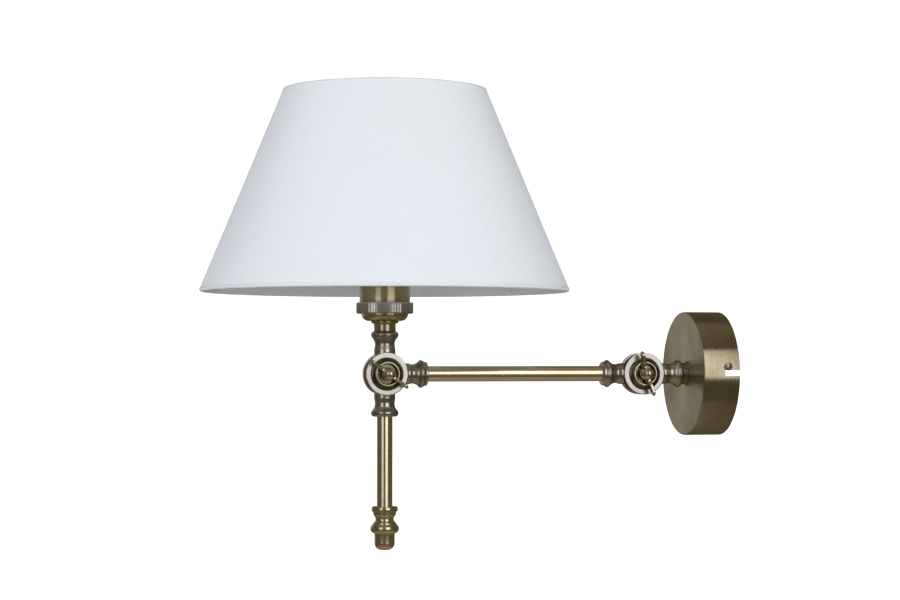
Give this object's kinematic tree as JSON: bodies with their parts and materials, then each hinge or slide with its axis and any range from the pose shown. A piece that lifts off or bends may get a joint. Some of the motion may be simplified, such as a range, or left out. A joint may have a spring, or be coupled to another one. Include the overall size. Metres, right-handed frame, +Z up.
{
  "type": "wall lamp",
  "caption": "Wall lamp in antique brass: round canopy, tilting arm on a wing screw knuckle, second knuckle with a lampholder above and a finial below, and a conical fabric shade.",
  "frame": {"origin": "centre of the mounting bracket on the wall plane", "axes": "+Y into the wall, +Z up, the arm reaches along -Y and the knuckles turn about X"},
  "size_m": [0.3002, 0.4382, 0.3736],
  "materials": {
    "canopy_brass": "antique, brushed round the rim",
    "cast_brass": "antique, satin cast",
    "tube_brass": "antique, polished tube",
    "turned_brass": "antique, turned",
    "plain_brass": "bright, unlacquered",
    "steel": "zinc plated",
    "screw_steel": "dark nickel",
    "connector_plastic": "moulded",
    "lead_brown": "insulation",
    "lead_blue": "insulation",
    "lead_green": "insulation",
    "lead_white": "insulation",
    "fibre": "vulcanised fibre",
    "porcelain": "glazed ceramic",
    "clamp_plastic": "moulded",
    "white_paint": "powder coat",
    "liner_plastic": "matt sheet",
    "shade_fabric": "plain weave, fine"
  },
  "bodies": {
    "wall_plate": {"canopy_cover": "canopy_brass", "mounting_bracket": "steel", "canopy_screws": "screw_steel", "wall_nipple": "plain_brass", "nipple_nut": "plain_brass", "nipple_washer": "steel", "terminal_block": "connector_plastic", "terminal_sleeves": "plain_brass", "terminal_screws": "steel", "earth_screw": "plain_brass", "live_lead": "lead_brown", "neutral_lead": "lead_blue", "earth_lead": "lead_green", "wall_knuckle_front": "cast_brass", "wall_cup_washer": "turned_brass"},
    "arm": {"wall_knuckle_rear": "cast_brass", "wall_friction_washer": "fibre", "arm_tube": "tube_brass", "arm_leads": "lead_white", "lamp_knuckle_rear": "cast_brass", "lamp_friction_washer": "fibre"},
    "wall_wing": {"wall_wing_screw": "turned_brass"},
    "lamp_wing": {"lamp_wing_screw": "turned_brass"},
    "lamp": {"lamp_knuckle_front": "cast_brass", "lamp_cup_washer": "turned_brass", "lower_tube": "tube_brass", "tie_rod": "steel", "finial": "turned_brass", "holder_nipple": "plain_brass", "holder_spacer": "tube_brass", "holder_dome": "tube_brass", "holder_nut": "plain_brass", "stem_leads": "lead_white", "holder_terminals": "plain_brass", "coupling_ring": "turned_brass", "holder_sleeve": "tube_brass", "holder_insert": "porcelain", "screw_shell": "plain_brass", "centre_contact": "plain_brass", "shade_clamp_ring": "clamp_plastic", "shade_fitter": "white_paint", "fitter_spokes": "white_paint", "shade_bottom_wire": "white_paint", "shade_top_wire": "white_paint", "shade_liner": "liner_plastic", "shade_cover": "shade_fabric"}
  },
  "joints": [
    {"name": "arm_tilt", "type": "hinge", "parent": "wall_plate", "child": "arm", "pos_m": [0, -0.068, 0], "axis": [1, 0, 0], "range_deg": [-40, 60]},
    {"name": "lamp_tilt", "type": "hinge", "parent": "arm", "child": "lamp", "pos_m": [0, -0.2865, 0], "axis": [1, 0, 0], "range_deg": [-20, 25]},
    {"name": "wall_wing_turn", "type": "hinge", "parent": "arm", "child": "wall_wing", "pos_m": [0, -0.068, 0], "axis": [1, 0, 0], "range_deg": [0, 360]},
    {"name": "lamp_wing_turn", "type": "hinge", "parent": "arm", "child": "lamp_wing", "pos_m": [0, -0.2865, 0], "axis": [1, 0, 0], "range_deg": [0, 360]}
  ]
}
